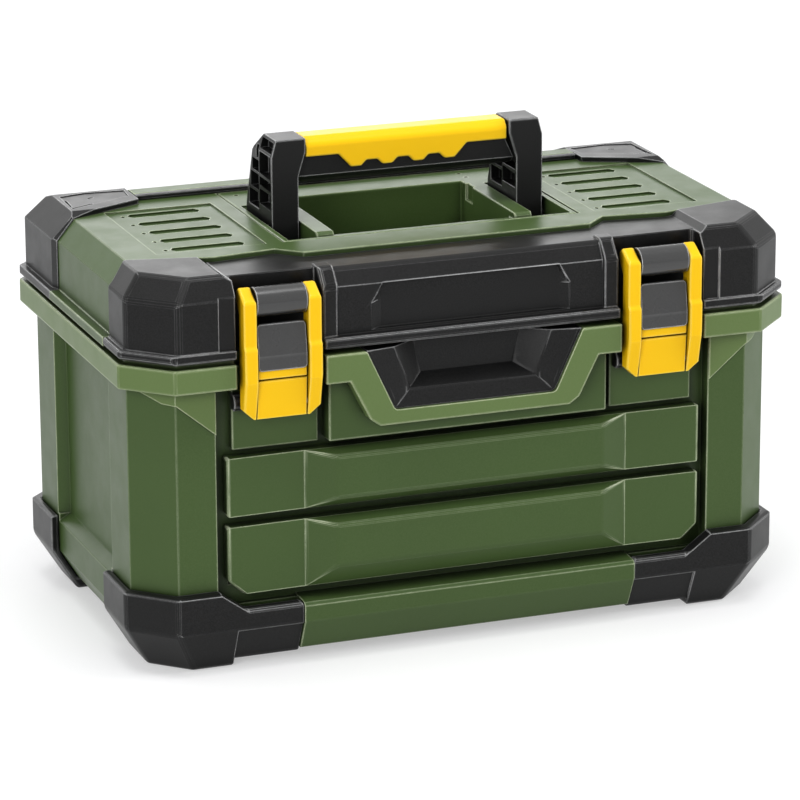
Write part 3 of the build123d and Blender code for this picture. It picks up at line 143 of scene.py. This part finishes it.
def spread(tree, value, low, high, to_low, to_high):
    """Stretches low to high onto to_low to to_high, and holds the ends."""
    node = tree.nodes.new("ShaderNodeMapRange")
    node.inputs["From Min"].default_value = low
    node.inputs["From Max"].default_value = high
    node.inputs["To Min"].default_value = to_low
    node.inputs["To Max"].default_value = to_high
    tree.links.new(value, node.inputs["Value"])
    return node.outputs["Result"]


def mixed(tree, amount, first, second):
    """Colour first where amount is 0 and second where it is 1."""
    node = tree.nodes.new("ShaderNodeMix")
    node.data_type = "RGBA"
    tree.links.new(amount, node.inputs["Factor"])
    for socket, colour in ((node.inputs[6], first), (node.inputs[7], second)):
        if isinstance(colour, tuple):
            socket.default_value = colour
        else:
            tree.links.new(colour, socket)
    return node.outputs[2]


def maths(tree, operation, *values):
    """The result of a Math node, whose inputs are numbers or other nodes' outputs."""
    node = tree.nodes.new("ShaderNodeMath")
    node.operation = operation
    for socket, value in zip(node.inputs, values):
        if isinstance(value, float):
            socket.default_value = value
        else:
            tree.links.new(value, socket)
    return node.outputs["Value"]


def bumped(tree, skin, height, strength, distance):
    """Lays a fine relief on the skin."""
    bump = tree.nodes.new("ShaderNodeBump")
    bump.inputs["Strength"].default_value = strength
    bump.inputs["Distance"].default_value = distance
    tree.links.new(height, bump.inputs["Height"])
    wire(tree, bump, "Normal", skin, "Normal")


def arris_highlight_mask(tree):
    """1 along outer arrises, where a rounded normal leaves the true one, and 0 on flats and in corners: where
    the arrises get a painted highlight and a lower roughness.
    """
    rounded = tree.nodes.new("ShaderNodeBevel")
    rounded.samples = 4
    rounded.inputs["Radius"].default_value = arris_reach
    surface = tree.nodes.new("ShaderNodeNewGeometry")
    dot = tree.nodes.new("ShaderNodeVectorMath")
    dot.operation = "DOT_PRODUCT"
    wire(tree, rounded, "Normal", dot, 0)
    wire(tree, surface, "True Normal", dot, 1)
    turned = spread(tree, dot.outputs["Value"], 0.997, 0.95, 0.0, 1.0)
    outer = spread(tree, surface.outputs["Pointiness"], 0.495, 0.505, 0.0, 1.0)
    return maths(tree, "MULTIPLY", turned, outer)


def painted_gap_shade(tree):
    """1 on open surfaces, falling towards 0 deep in gaps and corners: painted shade, which darkens the colour
    where shade falls.
    """
    near = tree.nodes.new("ShaderNodeAmbientOcclusion")
    near.samples = 6
    near.inputs["Distance"].default_value = painted_shade_reach
    return spread(tree, near.outputs["AO"], 0.3, 0.8, 0.12, 1.0)


# Finishes

def new_finish(name):
    """An empty finish with its tree, its skin, and the place on the piece that its patterns follow."""
    finish = bpy.data.materials.new(name)
    finish.use_nodes = True
    tree = finish.node_tree
    return finish, tree, tree.nodes["Principled BSDF"], tree.nodes.new("ShaderNodeTexCoord").outputs["Object"]


def moulded_plastic(name, main, deep, speckle_and_highlight, roughness, specular, relief=grain_height):
    """Injection-moulded plastic: a fine spark-eroded grain, slow mottling, pale speckles, arrises made paler
    by a painted highlight, and gaps darkened by painted shade.
    """
    finish, tree, skin, place = new_finish(name)
    fine = noise(tree, place, grain_scale, 2)
    slow = spread(tree, noise(tree, place, mottle_scale, 3), 0.3, 0.7, 0.0, 1.0)
    speckles = spread(tree, fine, 0.35, 0.65, 0.0, speckle_share)
    speckled = mixed(tree, speckles, mixed(tree, slow, deep, main), speckle_and_highlight)
    edges = arris_highlight_mask(tree)
    uneven = spread(tree, noise(tree, place, highlight_break_scale, 4, 0.6), 0.3, 0.62, 0.6, 1.0)
    # Painted highlight: the outer arrises turn paler, unevenly, where rounded edges would catch the light.
    with_arris_highlight = mixed(tree, maths(tree, "MULTIPLY", edges, uneven), speckled, speckle_and_highlight)
    # Painted shade darkens the base colour in gaps and corners.
    tree.links.new(mixed(tree, painted_gap_shade(tree), painted_shade_black, with_arris_highlight), skin.inputs["Base Color"])
    dull = spread(tree, noise(tree, place, dulling_scale, 4), 0.3, 0.7, roughness - 0.03, roughness + 0.04)
    tree.links.new(maths(tree, "MULTIPLY_ADD", edges, arris_polish, dull), skin.inputs["Roughness"])
    bumped(tree, skin, fine, grain_strength, relief)
    skin.inputs["IOR"].default_value = plastic_ior
    skin.inputs["Specular IOR Level"].default_value = specular
    return finish


def brushed_steel(name, main, deep):
    """Zinc-plated steel, drawn along X, with a little cloudiness."""
    finish, tree, skin, place = new_finish(name)
    along = tree.nodes.new("ShaderNodeMapping")
    along.inputs["Scale"].default_value = (0.05, 1.0, 1.0)
    tree.links.new(place, along.inputs["Vector"])
    lines = noise(tree, along.outputs["Vector"], 2200, 3)
    cloud = spread(tree, noise(tree, place, 90, 3), 0.3, 0.7, 0, 1)
    tree.links.new(mixed(tree, cloud, deep, main), skin.inputs["Base Color"])
    tree.links.new(spread(tree, lines, 0.3, 0.7, 0.26, 0.42), skin.inputs["Roughness"])
    bumped(tree, skin, lines, 0.35, 0.00003)
    skin.inputs["Metallic"].default_value = 1.0
    return finish


# Each plastic's fourth colour serves both its pale speckles and its painted arris highlight.
olive_green = moulded_plastic("olive_green_plastic", shade(65, 86, 43), shade(62, 82, 41),
                              shade(196, 206, 172), 0.36, 0.2)
# The same olive plastic painted lighter for the rim and bezel: painted light, for the light that falls more
# on them.
painted_lighter_green = moulded_plastic("rim_green_plastic", shade(97, 118, 67), shade(94, 114, 65),
                            shade(208, 216, 180), 0.36, 0.22)
charcoal = moulded_plastic("charcoal_plastic", shade(19, 19, 19), shade(16, 16, 16),
                           shade(180, 180, 180), 0.34, 0.16)
inner_charcoal = moulded_plastic("inner_charcoal_plastic", shade(24, 25, 25), shade(20, 21, 21),
                                 shade(62, 62, 63), 0.5, 0.12)
# The charcoal painted nearly black: painted shade for the inside of the finger recess, where shade falls.
recess_painted_shade = moulded_plastic("recess_black_plastic", shade(10, 10, 10), shade(7, 7, 7),
                               shade(100, 100, 100), 0.5, 0.08)
latch_yellow = moulded_plastic("latch_yellow_plastic", shade(255, 203, 10), shade(254, 199, 8),
                               shade(255, 230, 110), 0.34, 0.18)
button_black = moulded_plastic("button_black_plastic", shade(32, 32, 32), shade(28, 28, 28),
                               shade(190, 190, 190), 0.24, 0.8, polished_grain_height)
pad_black = moulded_plastic("pad_black_plastic", shade(52, 52, 52), shade(48, 48, 48),
                            shade(215, 215, 215), 0.28, 0.5, polished_grain_height)
zinc = brushed_steel("zinc_plated_steel", shade(196, 198, 200), shade(176, 178, 181))
blackened_steel = brushed_steel("blackened_steel", shade(60, 60, 61), shade(48, 48, 49))


# Mouldings

def inside_recess(face):
    """The walls, floor and back of the finger recess, behind its sloped lip."""
    return face.calc_center_median().y > recess_lip_y and face.normal.y < 0.5


def apart(point, start, end):
    """How far a point is from the stretch between start and end."""
    near, part = intersect_point_line(point, start, end)
    if part < 0:
        near = start
    elif part > 1:
        near = end
    return (point - near).length


def room_for_rounding(work, width, arrises):
    """For each edge, how wide its rounding may be before it meets another edge of the same face."""
    room = [width] * len(work.edges)
    for face in work.faces:
        corners = list(face.loops)
        count = len(corners)
        for this, corner in enumerate(corners):
            before = corner.link_loop_prev.edge
            shorter = min(before.calc_length(), corner.edge.calc_length())
            fits = room_share * shorter * min(1.0, math.tan(corner.calc_angle() / 2))
            for side in (before, corner.edge):
                room[side.index] = min(room[side.index], fits)
            for other in range(this + 2, count - (this == 0)):
                far = corners[other]
                if not (arrises[corner.edge.index] or arrises[far.edge.index]):
                    continue
                ends = (corner.vert.co, corner.link_loop_next.vert.co)
                far_ends = (far.vert.co, far.link_loop_next.vert.co)
                fits = room_share * min(min(apart(point, *far_ends) for point in ends),
                                        min(apart(point, *ends) for point in far_ends))
                for side in (corner.edge, far.edge):
                    room[side.index] = min(room[side.index], fits)
    return room


def mark_arrises(work, width, least):
    """Weights every arris sharper than least by how much of width fits between its neighbours."""
    work.edges.index_update()
    arrises = [len(edge.link_faces) == 2 and edge.calc_face_angle(0) > least for edge in work.edges]
    room = room_for_rounding(work, width, arrises)
    weight = work.edges.layers.float.new("bevel_weight_edge")
    for edge, arris, fits in zip(work.edges, arrises, room):
        if arris and fits > least_rounding:
            edge[weight] = fits / width


def folds_over(piece):
    """Whether a rounding has run past its neighbours, so that a face lies twice over itself."""
    rounded = piece.evaluated_get(bpy.context.evaluated_depsgraph_get()).data
    rounded.calc_loop_triangles()
    covered = [0.0] * len(rounded.polygons)
    for part in rounded.loop_triangles:
        covered[part.polygon_index] += part.area
    return any(twice - face.area > max(fold_area, fold_share * face.area)
               for twice, face in zip(covered, rounded.polygons))


def round_arrises(piece, width, segments):
    """Rounds the marked arrises, a little narrower where the full width would fold a face over."""
    rounding = piece.modifiers.new("rounded_arrises", "BEVEL")
    rounding.limit_method = "WEIGHT"
    rounding.width = width
    rounding.segments = segments
    rounding.use_clamp_overlap = False
    rounding.loop_slide = True
    while folds_over(piece) and rounding.width > width * narrowest_share:
        rounding.width *= narrower
    rounding.use_clamp_overlap = folds_over(piece)


def new_piece(node, mesh, finishes):
    mesh.materials.clear()
    for finish in finishes:
        mesh.materials.append(finish)
    piece = bpy.data.objects.new(node + "_moulded", mesh)
    scene.collection.objects.link(piece)
    return piece


def take_place(piece, node):
    """Shades the piece's flats flat, and puts it in its node's place, on the node's body."""
    shading = piece.modifiers.new("flats_shaded_flat", "WEIGHTED_NORMAL")
    shading.mode = "FACE_AREA"
    shading.keep_sharp = True
    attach(piece, body_of_node[node])
    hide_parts(node)
    dressed.add(node)


def moulded(node, finish, width, segments=3, angle=14, inside=None):
    """The CAD node's own shape with its arrises rounded, as they leave a mould.

    What is sharper than angle, in degrees, is an arris. Faces that inside picks get its second finish."""
    mesh = frame["nodes"][node].data.copy()
    work = bmesh.new()
    work.from_mesh(mesh)
    bmesh.ops.remove_doubles(work, verts=work.verts, dist=merge_reach)
    bmesh.ops.dissolve_limit(work, angle_limit=flat_within, use_dissolve_boundaries=False,
                             verts=work.verts, edges=work.edges, delimit=set())
    finishes = [finish]
    if inside:
        second_finish, picks = inside
        finishes.append(second_finish)
    for face in work.faces:
        face.smooth = True
        if inside and picks(face):
            face.material_index = 1
    mark_arrises(work, width, math.radians(angle))
    work.to_mesh(mesh)
    work.free()
    mesh.set_sharp_from_angle(angle=math.radians(angle))
    piece = new_piece(node, mesh, finishes)
    round_arrises(piece, width, segments)
    take_place(piece, node)


# Thumb pads

def lean_back(corner, crease_z):
    """How far back the pad's face lies at this corner: nothing below the crease, more above it."""
    return max(0.0, corner.co.z - crease_z) * pad_lean


def thumb_pad(node):
    """A latch's push pad: a plate with round corners whose upper part leans back for the thumb."""
    low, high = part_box(node)
    crease_z = low[2] + pad_crease_h
    work = bmesh.new()
    outline = bmesh.ops.create_grid(work, x_segments=1, y_segments=1, size=0.5)["verts"]
    bmesh.ops.scale(work, vec=(high[0] - low[0], high[2] - low[2], 1), verts=outline)
    bmesh.ops.rotate(work, matrix=Matrix.Rotation(math.radians(90), 3, "X"), verts=outline)
    bmesh.ops.translate(work, vec=((low[0] + high[0]) / 2, low[1], (low[2] + high[2]) / 2), verts=outline)
    bmesh.ops.bevel(work, geom=list(work.verts), offset=pad_corner, affect="VERTICES",
                    segments=pad_corner_segments, profile=0.5, material=-1)
    made = bmesh.ops.extrude_face_region(work, geom=list(work.faces))["geom"]
    back = [part for part in made if isinstance(part, bmesh.types.BMVert)]
    bmesh.ops.translate(work, vec=(0, pad_plate_t, 0), verts=back)
    bmesh.ops.bisect_plane(work, geom=list(work.verts) + list(work.edges) + list(work.faces), dist=cut_reach,
                           plane_co=(0, 0, crease_z), plane_no=(0, 0, 1))
    for corner in work.verts:
        corner.co.y += lean_back(corner, crease_z)
    bmesh.ops.recalc_face_normals(work, faces=list(work.faces))
    outer = [edge for edge in work.edges
             if len(edge.link_faces) == 2 and edge.calc_face_angle(0) > pad_edge_turn
             and all(corner.co.y < low[1] + lean_back(corner, crease_z) + pad_face_reach
                     for corner in edge.verts)]
    bmesh.ops.bevel(work, geom=outer, offset=pad_edge, affect="EDGES", segments=3, profile=0.5, material=-1)
    for face in work.faces:
        face.smooth = True
    mesh = bpy.data.meshes.new(node + "_moulded")
    work.to_mesh(mesh)
    work.free()
    mesh.set_sharp_from_angle(angle=pad_smooth_angle)
    take_place(new_piece(node, mesh, [pad_black]), node)


# Pieces of the box

# Rim and bezel take the olive green painted lighter for the light on them.
for node, width in (("rim_frame", 0.0014), ("bezel_frame", 0.0012)):
    moulded(node, painted_lighter_green, width)

for node, width in (("body_shell", 0.0024), ("front_plate", 0.0012),
                    ("lid_shell", 0.0022), ("lid_tray", 0.0012),
                    ("upper_drawer_front", 0.0018), ("lower_drawer_front", 0.0018)):
    moulded(node, olive_green, width)

for node, width in (("foot_front_left", 0.0024), ("foot_front_right", 0.0024),
                    ("foot_rear_left", 0.0024), ("foot_rear_right", 0.0024),
                    ("lid_rear_cap_left", 0.0022), ("lid_rear_cap_right", 0.0022),
                    ("lid_rear_bar", 0.0010), ("handle_post_left", 0.0018),
                    ("handle_post_right", 0.0018), ("handle_core", 0.0018)):
    moulded(node, charcoal, width)

moulded("lid_front_bumper", charcoal, 0.0026, angle=6)
# Inside the finger recess the faces take the charcoal painted nearly black, as painted shade.
moulded("finger_recess", charcoal, 0.0014, inside=(recess_painted_shade, inside_recess))
moulded("handle_grip", latch_yellow, 0.0036, segments=5)
for side in ("left", "right"):
    moulded("latch_frame_" + side, latch_yellow, 0.0018, segments=4)
    moulded("latch_tongue_" + side, latch_yellow, 0.0008)
    thumb_pad("latch_pad_" + side)
    moulded("latch_barrel_" + side, button_black, 0.0008)
    moulded("latch_catch_" + side, charcoal, 0.0008)
    moulded("keeper_panel_" + side, olive_green, 0.0010)

for node in ("upper_bin", "drawer_cabinet", "upper_drawer_box", "lower_drawer_box"):
    moulded(node, inner_charcoal, 0.0008)


# Pins, screws, hinge parts and runners, which keep their CAD shape

def small_part_finish(node):
    if node.startswith(("hinge_bracket", "runner_")):
        return inner_charcoal
    if node.startswith("handle_pin"):
        return blackened_steel
    return zinc


for node, piece in frame["nodes"].items():
    if node not in dressed:
        piece.data.materials.clear()
        piece.data.materials.append(small_part_finish(node))


# Floor, air and lamps

def seen_or_mirrored(tree):
    """1 for what the camera sees straight on, in gloss or through clear material, and 0 for light."""
    path = tree.nodes.new("ShaderNodeLightPath")
    either = maths(tree, "MAXIMUM", path.outputs["Is Camera Ray"], path.outputs["Is Glossy Ray"])
    return maths(tree, "MAXIMUM", either, path.outputs["Is Transmission Ray"])


def pale_paper():
    """Matt paper that looks nearly white, though it throws little light back onto the box."""
    paper = bpy.data.materials.new("pale_paper")
    paper.use_nodes = True
    tree = paper.node_tree
    sheet = tree.nodes["Principled BSDF"]
    sheet.inputs["Roughness"].default_value = paper_roughness
    sheet.inputs["Base Color"].default_value = (paper_grey, paper_grey, paper_grey, 1)
    sheet.inputs["Emission Color"].default_value = (1, 1, 1, 1)
    glow = maths(tree, "MULTIPLY", seen_or_mirrored(tree), paper_glow)
    tree.links.new(glow, sheet.inputs["Emission Strength"])
    return paper


def studio_floor():
    mesh = bpy.data.meshes.new("studio_floor")
    work = bmesh.new()
    bmesh.ops.create_grid(work, x_segments=1, y_segments=1, size=floor_half)
    work.to_mesh(mesh)
    work.free()
    mesh.materials.append(pale_paper())
    floor = bpy.data.objects.new("studio_floor", mesh)
    scene.collection.objects.link(floor)
    floor.location = (0, 0, -floor_drop)


def background(tree, colour, strength):
    node = tree.nodes.new("ShaderNodeBackground")
    node.inputs["Color"].default_value = colour
    node.inputs["Strength"].default_value = strength
    return node


def studio_air():
    """White where it is seen or mirrored, and a dim, faintly cool light everywhere else."""
    scene.world = bpy.data.worlds.new("studio_air")
    scene.world.use_nodes = True
    tree = scene.world.node_tree
    tree.nodes.clear()
    choice = tree.nodes.new("ShaderNodeMixShader")
    result = tree.nodes.new("ShaderNodeOutputWorld")
    tree.links.new(seen_or_mirrored(tree), choice.inputs[0])
    wire(tree, background(tree, air_colour, air_strength), "Background", choice, 1)
    wire(tree, background(tree, (1, 1, 1, 1), 1.0), "Background", choice, 2)
    wire(tree, choice, "Shader", result, "Surface")


def soft_lamp(name, place, width, height, power):
    """A wide soft panel at place, facing the middle of the box."""
    data = bpy.data.lights.new(name, "AREA")
    data.shape = "RECTANGLE"
    data.size = width
    data.size_y = height
    data.energy = power
    lamp = bpy.data.objects.new(name, data)
    scene.collection.objects.link(lamp)
    lamp.location = place
    lamp.rotation_mode = "QUATERNION"
    lamp.rotation_quaternion = (Vector(middle) - Vector(place)).to_track_quat("-Z", "Y")


studio_floor()
studio_air()
soft_lamp("overhead_panel", (-0.2, -0.1, 2.1), 1.7, 1.2, 25)
soft_lamp("right_panel", (2.6, -0.9, 1.2), 1.2, 1.4, 38)
soft_lamp("left_panel", (-1.8, -2.1, 1.1), 1.0, 1.2, 30)
soft_lamp("back_panel", (0.2, 2.6, 1.15), 2.4, 0.9, 16)


# The photograph's point of view

def photo_camera():
    """A camera at its distance from the aim, turned by azimuth and elevation and rolled a little."""
    towards = Vector((math.sin(camera_azimuth) * math.cos(camera_elevation),
                      -math.cos(camera_azimuth) * math.cos(camera_elevation),
                      math.sin(camera_elevation)))
    level = Vector((math.cos(camera_azimuth), math.sin(camera_azimuth), 0))
    upright = towards.cross(level)
    right = level * math.cos(camera_roll) + upright * math.sin(camera_roll)
    up = upright * math.cos(camera_roll) - level * math.sin(camera_roll)
    turn = Matrix((right, up, towards)).transposed().to_4x4()
    lens = bpy.data.cameras.new("photo_camera")
    lens.sensor_width = camera_sensor
    lens.lens = camera_lens
    camera = bpy.data.objects.new("photo_camera", lens)
    scene.collection.objects.link(camera)
    camera.matrix_world = Matrix.Translation(camera_aim + towards * camera_distance) @ turn
    return camera


scene.camera = photo_camera()
scene.view_settings.view_transform = "Standard"

bpy.context.view_layer.update()
